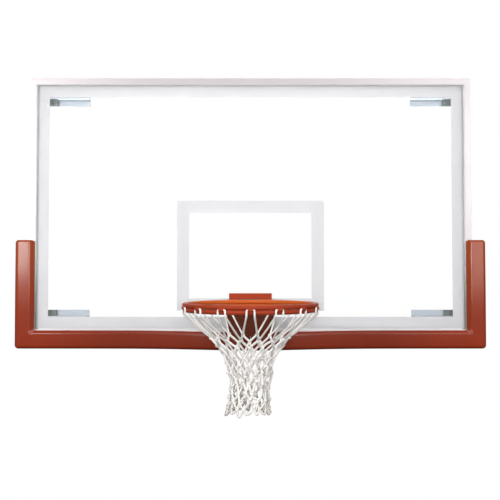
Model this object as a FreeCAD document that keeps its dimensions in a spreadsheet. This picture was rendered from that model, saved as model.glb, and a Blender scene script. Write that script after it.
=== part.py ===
import FreeCAD, Part
import math
import os
import Sketcher

# Basketball backboard with a sprung double ring and a cord net.
# X is right seen from the front, Y points to the rear, Z is up. The origin is the centre of
# the four corner mounting holes, on the plane where the mounting angles meet the structure.

doc = FreeCAD.newDocument("backboard")
sheet = doc.addObject("Spreadsheet::Sheet", "Sizes")

SIZES = {
    # Glass and frame
    "board_width": 1828.8,
    "board_height": 1066.8,
    "glass_thick": 12.7,
    "lip_width": 25,
    "rail_wall": 3,
    "rail_width": 40,
    "rail_box": 30,
    "seal_thick": 2.5,
    "seal_show": 3,
    "fit_gap": 0.3,
    "key_leg": 90,
    "key_screw_inset": 14,
    "key_screw_depth": 15,
    # Markings on the glass
    "film_thick": 0.4,
    "stripe_width": 51,
    "target_width": 610,
    "target_height": 457,
    "film_clearance": 1,
    # Corner mounting
    "hole_from_side": 71.4,
    "hole_from_edge": 88.9,
    "mount_depth": 60,
    "mount_hole_radius": 6.5,
    "angle_thick": 4,
    "angle_length": 197,
    "angle_leg": 28,
    "angle_reach": 40,
    "angle_web_inset": 7,
    "angle_screw_inset": 6.5,
    "angle_screw_end": 20,
    "block_width": 62,
    "block_thick": 18,
    "block_front_wall": 4,
    # Edge pads
    "pad_thick": 53,
    "pad_lip": 20,
    "pad_front": 19.2,
    "pad_rear": 19.5,
    "pad_side_height": 393,
    "pad_round": 9,
    # Screws
    "screw_radius": 3,
    "screw_head_radius": 6,
    "screw_head_height": 3.5,
    "screw_past_wall": 8,
    "pad_screw_past_wall": 5,
    "thread_gap": 0.05,
    "washer_radius": 9,
    "washer_thick": 1.5,
    # Rim fixing
    "plate_width": 176,
    "plate_height": 148,
    "plate_bottom": 26,
    "plate_thick": 8,
    "rim_seal_thick": 3,
    "rim_seal_inset": 3,
    "bolt_spacing_wide": 127,
    "bolt_spacing_tall": 101.6,
    "bolt_middle": 110,
    "bolt_radius": 5,
    "bolt_head_radius": 9.5,
    "bolt_head_height": 5,
    "sleeve_radius": 8.7,
    "nut_radius": 9,
    "nut_height": 8,
    "bolt_past_nut": 5,
    "washer_past_nut": 2,
    "backing_width": 168,
    "backing_drop": 2,
    "strut_width": 160,
    "strut_thick": 6,
    "strut_drop": 19,
    # Rim hinge and springs
    "pivot_ahead": 70,
    "pivot_height": 86,
    "pin_radius": 7,
    "pin_fit": 0.06,
    "pin_seat": 0.02,
    "pin_length": 192,
    "clip_radius": 12,
    "clip_thick": 2,
    "cheek_inside": 72,
    "cheek_thick": 6,
    "cheek_bottom": 40,
    "cheek_top": 124,
    "cheek_foot": 13,
    "cheek_waist": 19,
    "cheek_waist_rise": 22,
    "cheek_nose": 20,
    "cheek_nose_half": 16,
    "cheek_shoulder": 10,
    "bush_radius": 10,
    "bush_flange_radius": 13,
    "yoke_width": 182,
    "yoke_side": 8,
    "yoke_rear_rise": 24,
    "yoke_heel": 20,
    "yoke_heel_drop": 26,
    "yoke_calf": 12,
    "yoke_calf_drop": 58,
    "yoke_toe": 30,
    "apron_thick": 6,
    "apron_bottom": 8,
    "top_plate_thick": 8,
    "top_plate_flare": 300,
    "flare_start": 15,
    "flare_taper": 20,
    "buffer_length": 15,
    "buffer_width": 90,
    "buffer_overhang": 2,
    "bar_depth": 16,
    "bar_height": 20,
    "spring_height": 40,
    "spring_spacing": 80,
    "spring_radius": 13,
    "spring_wire_radius": 2.5,
    "spring_turns": 4,
    "spigot_radius": 10,
    "spigot_length": 12,
    # Ring, ties and net
    "ring_inside_radius": 228.6,
    "ring_rod_radius": 8,
    "ring_top": 152.4,
    "ring_ahead": 381,
    "weld_gap": 0.3,
    "tie_count": 16,
    "tie_radius": 6.2,
    "tie_bore_radius": 3.75,
    "tie_length": 18,
    "tie_stand_off": 12.1,
    "cord_radius": 3,
    "knot_radius": 4.6,
    "loop_rise": 5,
    "net_length": 402,
    "net_neck_radius": 73,
}

for row, (name, number) in enumerate(SIZES.items(), start=1):
    sheet.set("A%d" % row, name)
    sheet.set("B%d" % row, str(number))
    sheet.setAlias("B%d" % row, name)
doc.recompute()


class Dim:
    """A size from the sheet, or a sum of sizes: its number now and the expression that drives it."""

    def __init__(self, number, text):
        self.number = float(number)
        self.text = text

    def __float__(self):
        return self.number

    def joined(self, first, sign, second, number):
        return Dim(number, "(" + words(first) + sign + words(second) + ")")

    def __add__(self, other):
        return self.joined(self, " + ", other, self.number + float(other))

    def __radd__(self, other):
        return self.joined(other, " + ", self, float(other) + self.number)

    def __sub__(self, other):
        return self.joined(self, " - ", other, self.number - float(other))

    def __rsub__(self, other):
        return self.joined(other, " - ", self, float(other) - self.number)

    def __mul__(self, other):
        return self.joined(self, " * ", other, self.number * float(other))

    def __rmul__(self, other):
        return self.joined(other, " * ", self, float(other) * self.number)

    def __truediv__(self, other):
        return self.joined(self, " / ", other, self.number / float(other))

    def __neg__(self):
        return self.joined(0, " - ", self, -self.number)


def words(item):
    if isinstance(item, Dim):
        return item.text
    return "(%.6f)" % item


def size(name):
    return Dim(sheet.get(name), "Sizes." + name)


def new_body(label):
    body = doc.addObject("PartDesign::Body", label)
    body.Label = label
    body.AllowCompound = True
    return body


def new_sketch(body, role, offset):
    """A sketch on one of the body's origin planes, moved along the plane's normal by offset."""
    sketch = body.newObject("Sketcher::SketchObject", body.Label + "_sketch")
    plane = [item for item in body.Origin.OriginFeatures if item.Role == role][0]
    sketch.AttachmentSupport = [(plane, "")]
    sketch.MapMode = "FlatFace"
    sketch.setExpression("AttachmentOffset.Base.z", words(offset))
    return sketch


def hold(sketch, geometry, point, across, up):
    """Ties one sketch point to the sketch origin by two driven distances."""
    for kind, value in (("DistanceX", across), ("DistanceY", up)):
        index = sketch.addConstraint(Sketcher.Constraint(kind, -1, 1, geometry, point, float(value)))
        sketch.setExpression("Constraints[%d]" % index, words(value))


def add_polygon(sketch, points):
    corners = [FreeCAD.Vector(float(across), float(up), 0) for across, up in points]
    count = len(corners)
    first = sketch.GeometryCount
    for index in range(count):
        sketch.addGeometry(Part.LineSegment(corners[index], corners[(index + 1) % count]))
    for index in range(count):
        following = first + (index + 1) % count
        sketch.addConstraint(Sketcher.Constraint("Coincident", first + index, 2, following, 1))
    for index, (across, up) in enumerate(points):
        hold(sketch, first + index, 1, across, up)


def add_circle(sketch, across, up, radius):
    centre = FreeCAD.Vector(float(across), float(up), 0)
    geometry = sketch.addGeometry(Part.Circle(centre, FreeCAD.Vector(0, 0, 1), float(radius)))
    hold(sketch, geometry, 3, across, up)
    index = sketch.addConstraint(Sketcher.Constraint("Radius", geometry, float(radius)))
    sketch.setExpression("Constraints[%d]" % index, words(radius))


def add_pad(body, sketch, length):
    pad = body.newObject("PartDesign::Pad", body.Label + "_pad")
    pad.Profile = sketch
    pad.setExpression("Length", words(length))
    body.Tip = pad
    doc.recompute()
    return pad


def add_pocket(body, sketch, length):
    """Cuts along the sketch's normal for the given length."""
    pocket = body.newObject("PartDesign::Pocket", body.Label + "_pocket")
    pocket.Profile = sketch
    pocket.Reversed = True
    pocket.setExpression("Length", words(length))
    body.Tip = pocket
    doc.recompute()
    return pocket


def rectangle(left, bottom, right, top):
    return [(left, bottom), (right, bottom), (right, top), (left, top)]


def front_prism(label, front, rear, polygons, circles=()):
    """Outlines drawn in X and Z, as solid from the front plane to the rear plane."""
    body = new_body(label)
    sketch = new_sketch(body, "XZ_Plane", -rear)
    for points in polygons:
        add_polygon(sketch, points)
    for across, up, radius in circles:
        add_circle(sketch, across, up, radius)
    add_pad(body, sketch, rear - front)
    return body


def side_prism(label, left, right, polygons, circles=()):
    """Outlines drawn in Y and Z, as solid from the left plane to the right plane."""
    body = new_body(label)
    sketch = new_sketch(body, "YZ_Plane", left)
    for points in polygons:
        add_polygon(sketch, points)
    for across, up, radius in circles:
        add_circle(sketch, across, up, radius)
    add_pad(body, sketch, right - left)
    return body


def front_discs(body, front, rear, places, radius, bore=None):
    """Adds round discs or tubes along Y to a body, one at each place."""
    sketch = new_sketch(body, "XZ_Plane", -rear)
    for across, up in places:
        add_circle(sketch, across, up, radius)
        if bore is not None:
            add_circle(sketch, across, up, bore)
    add_pad(body, sketch, rear - front)


def drill_from_front(body, front, depth, places, radius):
    """Cuts round holes that start at the plane front + depth and run forward to the front plane."""
    sketch = new_sketch(body, "XZ_Plane", -(front + depth))
    for across, up in places:
        add_circle(sketch, across, up, radius)
    add_pocket(body, sketch, depth)


# Planes along Y, from the front of the board to the mounting plane at zero
glass_front = -size("mount_depth")
glass_rear = glass_front + size("glass_thick")
lip_rear = glass_front - size("seal_thick")
lip_front = lip_rear - size("rail_wall")
box_front = glass_rear + size("seal_thick")
box_rear = box_front + size("rail_box")
half_width = size("board_width") / 2
half_height = size("board_height") / 2
board_bottom = -half_height
wall = size("rail_wall")
gap = size("fit_gap")

# A cut runs this far past the faces that it opens
overcut = 1

# Places of the screws that enter the rails from the rear
key_screw_in = size("rail_width") / 2
key_screw_along = size("key_leg") - size("key_screw_inset")
angle_outer = half_width - size("rail_width") - gap
angle_inner = angle_outer - size("angle_length")
angle_screw_in = size("rail_width") - size("angle_screw_inset")
angle_screw_places = [angle_inner + size("angle_screw_end"), angle_inner + size("angle_length") / 2]
strut_screw_places = [-size("strut_width") / 3, 0 * size("strut_width"), size("strut_width") / 3]
pad_screw_up = size("pad_lip") / 2
pad_bottom_places = [half_width * share for share in (0.22, 0.54, 0.82)]
pad_side_places = [size("pad_side_height") * share for share in (0.35, 0.85)]


def key_screws_on_long_rail(sign):
    up = sign * (half_height - key_screw_in)
    return [(side * (half_width - key_screw_along), up) for side in (-1, 1)]


def key_screws_on_side_rail(side):
    across = side * (half_width - key_screw_in)
    return [(across, sign * (half_height - key_screw_along)) for sign in (-1, 1)]


def angle_screws(sign):
    up = sign * (half_height - angle_screw_in)
    return [(side * across, up) for side in (-1, 1) for across in angle_screw_places]


strut_up = board_bottom + size("rail_width") - size("strut_drop") / 2
strut_screws = [(across, strut_up) for across in strut_screw_places]
pad_bottom_screws = [
    (side * across, board_bottom + pad_screw_up) for side in (-1, 1) for across in pad_bottom_places
]


def pad_side_screws(side):
    return [(side * (half_width - pad_screw_up), board_bottom + up) for up in pad_side_places]


def rail_section(edge, inward):
    """The rail's outline and its hollow; edge is the outer face and inward is +1 or -1."""
    outline = [
        (lip_front, edge),
        (box_rear, edge),
        (box_rear, edge + inward * size("rail_width")),
        (box_front, edge + inward * size("rail_width")),
        (box_front, edge + inward * wall),
        (lip_rear, edge + inward * wall),
        (lip_rear, edge + inward * size("lip_width")),
        (lip_front, edge + inward * size("lip_width")),
    ]
    near = edge + inward * wall
    far = edge + inward * (size("rail_width") - wall)
    hollow = [
        (box_front + wall, near),
        (box_rear - wall, near),
        (box_rear - wall, far),
        (box_front + wall, far),
    ]
    return [outline, hollow]


def mitre(body, triangles):
    sketch = new_sketch(body, "XZ_Plane", -(box_rear + overcut))
    for points in triangles:
        add_polygon(sketch, points)
    add_pocket(body, sketch, box_rear - lip_front + 2 * overcut)


# Top and bottom rails: one hollow section each, mitred at both ends
mitre_depth = size("rail_width") + overcut
for label, sign in (("top_rail", 1), ("bottom_rail", -1)):
    rail = side_prism(label, -half_width, half_width, rail_section(sign * half_height, -sign))
    corners = []
    for side in (-1, 1):
        outer = side * half_width
        inner = side * (half_width - mitre_depth)
        low = sign * (half_height - mitre_depth)
        corners.append([(outer, sign * half_height), (outer, low), (inner, low)])
    mitre(rail, corners)
    holes = key_screws_on_long_rail(sign) + angle_screws(sign)
    if sign < 0:
        holes = holes + strut_screws + pad_bottom_screws
    drill_from_front(rail, box_rear - wall - overcut, wall + 2 * overcut, holes, size("screw_radius"))

# Left and right rails: the same section on end, with the other half of each mitre
for label, side in (("left_rail", -1), ("right_rail", 1)):
    rail = new_body(label)
    sketch = new_sketch(rail, "XY_Plane", -half_height)
    for points in rail_section(side * half_width, -side):
        add_polygon(sketch, [(across, depth) for depth, across in points])
    add_pad(rail, sketch, size("board_height"))
    corners = []
    for sign in (-1, 1):
        outer = sign * half_height
        inner = sign * (half_height - mitre_depth)
        near = side * (half_width - mitre_depth)
        corners.append([(side * half_width, outer), (near, outer), (near, inner)])
    mitre(rail, corners)
    holes = key_screws_on_side_rail(side) + pad_side_screws(side)
    drill_from_front(rail, box_rear - wall - overcut, wall + 2 * overcut, holes, size("screw_radius"))

# Corner keys: an L in the hollow of each mitre, held by a screw in each leg
key_front = box_front + wall + gap
key_rear = box_rear - wall - gap
near = wall + gap
far = size("rail_width") - wall - gap
leg = size("key_leg")
key_outlines = []
key_screw_places = []
for side in (-1, 1):
    for sign in (-1, 1):
        steps = [(near, near), (leg, near), (leg, far), (far, far), (far, leg), (near, leg)]
        key_outlines.append(
            [(side * (half_width - across), sign * (half_height - up)) for across, up in steps]
        )
    key_screw_places += key_screws_on_side_rail(side)
for sign in (-1, 1):
    key_screw_places += key_screws_on_long_rail(sign)
keys = front_prism("corner_keys", key_front, key_rear, key_outlines)
key_depth = key_rear - key_front
drill_from_front(keys, key_front - overcut, key_depth + 2 * overcut, key_screw_places, size("screw_radius"))


def hexagon(across, up, radius):
    turns = [math.radians(60 * step) for step in range(6)]
    return [(across + radius * math.cos(turn), up + radius * math.sin(turn)) for turn in turns]


shank = size("screw_radius") - size("thread_gap")


def rear_screws(label, places, seat, length):
    """Six-sided screws whose heads sit on the plane seat and whose shanks run forward."""
    body = new_body(label)
    front_discs(body, seat - length, seat, places, shank)
    sketch = new_sketch(body, "XZ_Plane", -(seat + size("screw_head_height")))
    for across, up in places:
        add_polygon(sketch, hexagon(across, up, size("screw_head_radius")))
    add_pad(body, sketch, size("screw_head_height"))
    return body


set_screws = new_body("corner_screws")
front_discs(set_screws, box_rear - wall - size("key_screw_depth"), box_rear, key_screw_places, shank)

# Glass panel with four clearance holes for the rim bolts, held in a soft channel
glass_edge = wall + gap + size("seal_thick")
bolt_up = board_bottom + size("bolt_middle")
bolt_places = [
    (side * size("bolt_spacing_wide") / 2, bolt_up + sign * size("bolt_spacing_tall") / 2)
    for side in (-1, 1)
    for sign in (-1, 1)
]
glass_outline = rectangle(
    -(half_width - glass_edge), -(half_height - glass_edge), half_width - glass_edge, half_height - glass_edge
)
front_prism(
    "glass_panel",
    glass_front,
    glass_rear,
    [glass_outline],
    [(across, up, size("sleeve_radius") + gap) for across, up in bolt_places],
)

seal_outer = wall + gap
seal_inner = size("lip_width") + size("seal_show")
seal = front_prism(
    "glazing_seal",
    lip_rear,
    box_front,
    [
        rectangle(
            -(half_width - seal_outer),
            -(half_height - seal_outer),
            half_width - seal_outer,
            half_height - seal_outer,
        ),
        rectangle(
            -(half_width - seal_inner),
            -(half_height - seal_inner),
            half_width - seal_inner,
            half_height - seal_inner,
        ),
    ],
)
groove = new_sketch(seal, "XZ_Plane", -glass_rear)
add_polygon(groove, glass_outline)
add_pocket(seal, groove, size("glass_thick"))

# White border and target square, thin layers on the rear of the glass, open behind the rim plate
film_rear = glass_rear + size("film_thick")
film_break = size("backing_width") / 2 + size("film_clearance")


def open_frame(half, low, high, stripe):
    """A rectangular stripe whose bottom run is broken in the middle."""
    return [
        (film_break, low),
        (half, low),
        (half, high),
        (-half, high),
        (-half, low),
        (-film_break, low),
        (-film_break, low + stripe),
        (stripe - half, low + stripe),
        (stripe - half, high - stripe),
        (half - stripe, high - stripe),
        (half - stripe, low + stripe),
        (film_break, low + stripe),
    ]


border_edge = seal_inner + gap
border_width = size("lip_width") + size("stripe_width") - border_edge
front_prism(
    "border_stripe",
    glass_rear,
    film_rear,
    [
        open_frame(
            half_width - border_edge, board_bottom + border_edge, half_height - border_edge, border_width
        )
    ],
)
target_low = board_bottom + size("ring_top") - size("stripe_width")
front_prism(
    "target_square",
    glass_rear,
    film_rear,
    [
        open_frame(
            size("target_width") / 2,
            target_low,
            target_low + size("target_height"),
            size("stripe_width"),
        )
    ],
)

# Corner mounting angles: a web on the rear of the rail, a ledge and a drilled upright leg
mount_plane = 0 * size("mount_depth")
thick = size("angle_thick")
hole_across = half_width - size("hole_from_side")
hole_up = half_height - size("hole_from_edge")
ledge = hole_up + size("angle_leg") / 2
web_top = half_height - size("pad_lip") - size("angle_web_inset")
block_places = []
for label, side, sign in (
    ("top_left_angle", -1, 1),
    ("top_right_angle", 1, 1),
    ("bottom_left_angle", -1, -1),
    ("bottom_right_angle", 1, -1),
):
    section = [
        (box_rear, sign * web_top),
        (box_rear + thick, sign * web_top),
        (box_rear + thick, sign * ledge),
        (mount_plane, sign * ledge),
        (mount_plane, sign * (ledge - size("angle_leg"))),
        (mount_plane - thick, sign * (ledge - size("angle_leg"))),
        (mount_plane - thick, sign * (ledge - thick)),
        (mount_plane - thick - size("angle_reach"), sign * (ledge - thick)),
        (mount_plane - thick - size("angle_reach"), sign * ledge),
        (box_rear, sign * ledge),
    ]
    left = angle_inner if side > 0 else -angle_outer
    right = angle_outer if side > 0 else -angle_inner
    angle = side_prism(label, left, right, [section])
    drill_from_front(
        angle,
        mount_plane - thick - overcut,
        thick + 2 * overcut,
        [(side * hole_across, sign * hole_up)],
        size("mount_hole_radius"),
    )
    screws = [(side * across, sign * (half_height - angle_screw_in)) for across in angle_screw_places]
    drill_from_front(angle, box_rear - overcut, thick + 2 * overcut, screws, size("screw_radius"))
    block_places.append((side, sign))

rear_screws(
    "angle_screws",
    angle_screws(1) + angle_screws(-1),
    box_rear + thick,
    thick + wall + size("screw_past_wall"),
)

block_outlines = []
for side, sign in block_places:
    inner = side * (angle_outer - size("block_width"))
    outer = side * angle_outer
    low = sign * (ledge - size("angle_leg"))
    high = sign * (ledge - thick)
    block_outlines.append(rectangle(inner, low, outer, high))
block_front = mount_plane - thick - size("block_thick")
blocks = front_prism("mounting_blocks", block_front, mount_plane - thick, block_outlines)
drill_from_front(
    blocks,
    block_front + size("block_front_wall"),
    size("block_thick") - size("block_front_wall") + overcut,
    [(side * hole_across, sign * hole_up) for side, sign in block_places],
    size("mount_hole_radius"),
)

# Edge pads: one L each side that wraps the rails and meets its twin under the rim
pad_front_plane = lip_front - gap - size("pad_front")
pad_rear_plane = box_rear + gap + size("pad_rear")
for label, side in (("left_pad", -1), ("right_pad", 1)):
    outer = side * (half_width + size("pad_thick"))
    inner = side * (half_width - size("pad_lip"))
    seam = side * gap / 2
    low = board_bottom - size("pad_thick")
    lip = board_bottom + size("pad_lip")
    high = board_bottom + size("pad_side_height")
    pad = front_prism(
        label,
        pad_front_plane,
        pad_rear_plane,
        [[(seam, low), (outer, low), (outer, high), (inner, high), (inner, lip), (seam, lip)]],
    )
    plain = pad.Tip
    rounded = []
    for index, edge in enumerate(plain.Shape.Edges, start=1):
        middle = edge.CenterOfMass
        at_seam = abs(abs(middle.x) - float(gap) / 2) < float(gap)
        if not at_seam:
            rounded.append("Edge%d" % index)
    fillet = pad.newObject("PartDesign::Fillet", label + "_fillet")
    fillet.Base = (plain, rounded)
    fillet.setExpression("Radius", words(size("pad_round")))
    pad.Tip = fillet
    doc.recompute()
    channel = new_sketch(pad, "XZ_Plane", -(box_rear + gap))
    clear = half_width + gap
    floor = board_bottom - gap
    inside = side * half_width / 2
    add_polygon(
        channel,
        [
            (-side * gap, floor),
            (side * clear, floor),
            (side * clear, high + overcut),
            (inside, high + overcut),
            (inside, lip + overcut),
            (-side * gap, lip + overcut),
        ],
    )
    add_pocket(pad, channel, box_rear - lip_front + 2 * gap)
    holes = pad_side_screws(side) + [place for place in pad_bottom_screws if float(place[0]) * side > 0]
    rear_wall = pad_rear_plane - box_rear
    drill_from_front(pad, box_rear - overcut, rear_wall + 2 * overcut, holes, size("screw_radius"))

pad_screw_places = pad_bottom_screws + pad_side_screws(-1) + pad_side_screws(1)
washers = new_body("pad_washers")
front_discs(
    washers,
    pad_rear_plane,
    pad_rear_plane + size("washer_thick"),
    pad_screw_places,
    size("washer_radius"),
    size("screw_radius"),
)
rear_screws(
    "pad_screws",
    pad_screw_places,
    pad_rear_plane + size("washer_thick"),
    size("washer_thick") + size("pad_rear") + wall + size("pad_screw_past_wall"),
)

# Rim fixing: rubber, plate and flush bolts through the glass to a backing plate
plate_half = size("plate_width") / 2
plate_low = board_bottom + size("plate_bottom")
plate_high = plate_low + size("plate_height")
seal_front = glass_front - size("rim_seal_thick")
plate_front = seal_front - size("plate_thick")
rear_seal_rear = glass_rear + size("rim_seal_thick")
backing_rear = rear_seal_rear + size("plate_thick")
backing_half = size("backing_width") / 2
backing_low = board_bottom + size("rail_width") + gap
backing_high = plate_high - size("backing_drop")


def bolt_holes(radius):
    return [(across, up, radius) for across, up in bolt_places]


hole = size("bolt_radius") + gap
seal_inset = size("rim_seal_inset")
rim_seal_half = plate_half - seal_inset
front_prism(
    "front_rim_seal",
    seal_front,
    glass_front,
    [rectangle(-rim_seal_half, plate_low + seal_inset, rim_seal_half, plate_high - seal_inset)],
    bolt_holes(hole),
)
plate = front_prism(
    "rim_back_plate",
    plate_front,
    seal_front,
    [rectangle(-plate_half, plate_low, plate_half, plate_high)],
    bolt_holes(hole),
)
drill_from_front(
    plate,
    plate_front - overcut,
    size("bolt_head_height") + overcut,
    bolt_places,
    size("bolt_head_radius") + gap,
)
front_prism(
    "rear_rim_seal",
    glass_rear,
    rear_seal_rear,
    [rectangle(-backing_half, backing_low, backing_half, backing_high)],
    bolt_holes(hole),
)
front_prism(
    "backing_plate",
    rear_seal_rear,
    backing_rear,
    [rectangle(-backing_half, backing_low, backing_half, backing_high)],
    bolt_holes(hole),
)
sleeves = new_body("glass_sleeves")
front_discs(sleeves, glass_front, glass_rear, bolt_places, size("sleeve_radius"), hole)

bolt_end = backing_rear + size("washer_thick") + size("nut_height") + size("bolt_past_nut")
bolts = new_body("rim_bolts")
front_discs(
    bolts, plate_front, plate_front + size("bolt_head_height"), bolt_places, size("bolt_head_radius")
)
front_discs(bolts, plate_front + size("bolt_head_height"), bolt_end, bolt_places, size("bolt_radius"))
bolt_washers = new_body("rim_washers")
front_discs(
    bolt_washers,
    backing_rear,
    backing_rear + size("washer_thick"),
    bolt_places,
    size("nut_radius") + size("washer_past_nut"),
    hole,
)
front_prism(
    "rim_nuts",
    backing_rear + size("washer_thick"),
    backing_rear + size("washer_thick") + size("nut_height"),
    [hexagon(across, up, size("nut_radius")) for across, up in bolt_places],
    bolt_holes(size("bolt_radius") + size("thread_gap")),
)

# Strut that carries the backing plate on the bottom rail
strut_low = board_bottom + size("rail_width") - size("strut_drop")
strut_top = backing_low + size("strut_thick")
strut = side_prism(
    "goal_strut",
    -size("strut_width") / 2,
    size("strut_width") / 2,
    [
        [
            (backing_rear, backing_low),
            (box_rear, backing_low),
            (box_rear, strut_low),
            (box_rear + size("strut_thick"), strut_low),
            (box_rear + size("strut_thick"), strut_top),
            (backing_rear, strut_top),
        ]
    ],
)
strut_depth = size("strut_thick") + 2 * overcut
drill_from_front(strut, box_rear - overcut, strut_depth, strut_screws, size("screw_radius"))
rear_screws(
    "strut_screws",
    strut_screws,
    box_rear + size("strut_thick"),
    size("strut_thick") + wall + size("screw_past_wall"),
)

# Hinge: two cheeks on the back plate carry a pin across the rim
pivot_y = glass_front - size("pivot_ahead")
pivot_z = board_bottom + size("pivot_height")
cheek_low = board_bottom + size("cheek_bottom")
cheek_high = board_bottom + size("cheek_top")
cheek_outline = [
    (plate_front, cheek_low),
    (plate_front - size("cheek_foot"), cheek_low),
    (plate_front - size("cheek_waist"), cheek_low + size("cheek_waist_rise")),
    (pivot_y - size("cheek_nose"), pivot_z - size("cheek_nose_half")),
    (pivot_y - size("cheek_nose"), pivot_z + size("cheek_nose_half")),
    (pivot_y + size("cheek_shoulder"), cheek_high),
    (plate_front, cheek_high),
]
cheek_out = size("cheek_inside") + size("cheek_thick")
pin_hole = size("pin_radius") + size("pin_seat")
for label, left, right in (
    ("left_cheek", -cheek_out, -size("cheek_inside")),
    ("right_cheek", size("cheek_inside"), cheek_out),
):
    side_prism(label, left, right, [cheek_outline], [(pivot_y, pivot_z, pin_hole)])

pin_half = size("pin_length") / 2
side_prism("hinge_pin", -pin_half, pin_half, [], [(pivot_y, pivot_z, size("pin_radius"))])
yoke_half = size("yoke_width") / 2
yoke_inside = yoke_half - size("yoke_side")
clips = new_body("pin_clips")
for left in (yoke_half + gap, -(yoke_half + gap + size("clip_thick"))):
    sketch = new_sketch(clips, "YZ_Plane", left)
    add_circle(sketch, pivot_y, pivot_z, size("clip_radius"))
    add_circle(sketch, pivot_y, pivot_z, pin_hole)
    add_pad(clips, sketch, size("clip_thick"))

# Yoke: sides, apron and flared top plate that turn with the ring
ring_z = board_bottom + size("ring_top") - size("ring_rod_radius")
ring_y = glass_front - size("ring_ahead")
rod_circle = size("ring_inside_radius") + size("ring_rod_radius")
ring_outside = rod_circle + size("ring_rod_radius")
top_low = ring_z - size("top_plate_thick") / 2
apron_front = ring_y + ring_outside + gap
apron_rear = apron_front + size("apron_thick")
yoke_rear = plate_front - size("buffer_length")
apron_low = board_bottom + size("apron_bottom")
side_outline = [
    (apron_rear, top_low),
    (yoke_rear, top_low),
    (yoke_rear, pivot_z + size("yoke_rear_rise")),
    (pivot_y + size("yoke_heel"), pivot_z - size("yoke_heel_drop")),
    (pivot_y + size("yoke_calf"), pivot_z - size("yoke_calf_drop")),
    (pivot_y - size("yoke_toe"), apron_low),
    (apron_rear, apron_low),
]
for label, left, right in (
    ("left_yoke_side", -yoke_half, -yoke_inside),
    ("right_yoke_side", yoke_inside, yoke_half),
):
    side_prism(label, left, right, [side_outline], [(pivot_y, pivot_z, size("bush_radius"))])

front_prism(
    "front_apron",
    apron_front,
    apron_rear,
    [rectangle(-yoke_half, apron_low, yoke_half, top_low)],
)

bushes = new_body("hinge_bushes")
bush_bore = size("pin_radius") + size("pin_fit")
flange_inside = cheek_out + gap
for left, length, radius in (
    (yoke_inside, size("yoke_side"), size("bush_radius")),
    (-yoke_half, size("yoke_side"), size("bush_radius")),
    (flange_inside, yoke_inside - flange_inside, size("bush_flange_radius")),
    (-yoke_inside, yoke_inside - flange_inside, size("bush_flange_radius")),
):
    sketch = new_sketch(bushes, "YZ_Plane", left)
    add_circle(sketch, pivot_y, pivot_z, radius)
    add_circle(sketch, pivot_y, pivot_z, bush_bore)
    add_pad(bushes, sketch, length)

flare = size("top_plate_flare") / 2
flare_end = flare - size("flare_taper")
flare_start = apron_rear + size("flare_start")
flare_widest = ring_y + rod_circle * 0.86
flare_front = ring_y + rod_circle * 0.7
top_plate = new_body("ring_top_plate")
sketch = new_sketch(top_plate, "XY_Plane", top_low)
add_polygon(
    sketch,
    [
        (-yoke_half, yoke_rear),
        (yoke_half, yoke_rear),
        (yoke_half, flare_start),
        (flare, flare_widest),
        (flare_end, flare_front),
        (-flare_end, flare_front),
        (-flare, flare_widest),
        (-yoke_half, flare_start),
    ],
)
add_pad(top_plate, sketch, size("top_plate_thick"))
sketch = new_sketch(top_plate, "XY_Plane", top_low - overcut)
add_circle(sketch, 0 * ring_y, ring_y, ring_outside + gap)
add_pocket(top_plate, sketch, size("top_plate_thick") + 2 * overcut)

# Rubber buffer that the top plate rests against
buffer_half = size("buffer_width") / 2
buffer_low = top_low - size("buffer_overhang")
buffer_high = top_low + size("top_plate_thick") + size("buffer_overhang")
front_prism(
    "rest_buffer",
    yoke_rear + gap,
    plate_front,
    [rectangle(-buffer_half, buffer_low, buffer_half, buffer_high)],
)

# Spring bar across the yoke, spigots on the back plate and two coil springs between them
bar_rear = pivot_y + size("bar_depth") / 2
spring_z = board_bottom + size("spring_height")
side_prism(
    "spring_bar",
    -yoke_inside,
    yoke_inside,
    [
        rectangle(
            pivot_y - size("bar_depth") / 2,
            spring_z - size("bar_height") / 2,
            bar_rear,
            spring_z + size("bar_height") / 2,
        )
    ],
)
spring_places = [(side * size("spring_spacing") / 2, spring_z) for side in (-1, 1)]
spigots = new_body("spring_spigots")
front_discs(
    spigots, plate_front - size("spigot_length"), plate_front, spring_places, size("spigot_radius")
)

wire = float(size("spring_wire_radius"))
coil = float(size("spring_radius"))
turns = int(float(size("spring_turns")))
coil_start = float(bar_rear + gap) + wire
coil_end = float(plate_front - gap) - wire
quarters = 4 * turns


def coil_point(turn, across):
    share = turn / quarters
    angle = math.pi / 2 * turn
    return FreeCAD.Vector(
        across + coil * math.cos(angle),
        coil_start + (coil_end - coil_start) * share,
        float(spring_z) + coil * math.sin(angle),
    )


def coil_heading(turn):
    angle = math.pi / 2 * turn
    rate = (coil_end - coil_start) / (quarters * math.pi / 2)
    heading = FreeCAD.Vector(-coil * math.sin(angle), rate, coil * math.cos(angle))
    return heading.normalize()


def tangent_arc(start, control, end):
    """An arc that leaves start towards control and arrives at end from control."""
    middle = (start + end) / 2
    half = (end - start).Length / 2
    lean = math.acos(half / (control - start).Length)
    top = middle + (control - middle).normalize() * (half * math.tan(lean / 2))
    return Part.Arc(start, top, end).toShape()


def least_gap(path):
    """The least clear distance between points of the wire that lie half a turn or more apart."""
    half_turn = 24
    points = path.discretize(Number=2 * half_turn * turns + 1)
    nearest = min(
        points[first].distanceToPoint(points[second])
        for first in range(len(points))
        for second in range(first + half_turn, len(points))
    )
    return nearest - 2 * wire


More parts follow.
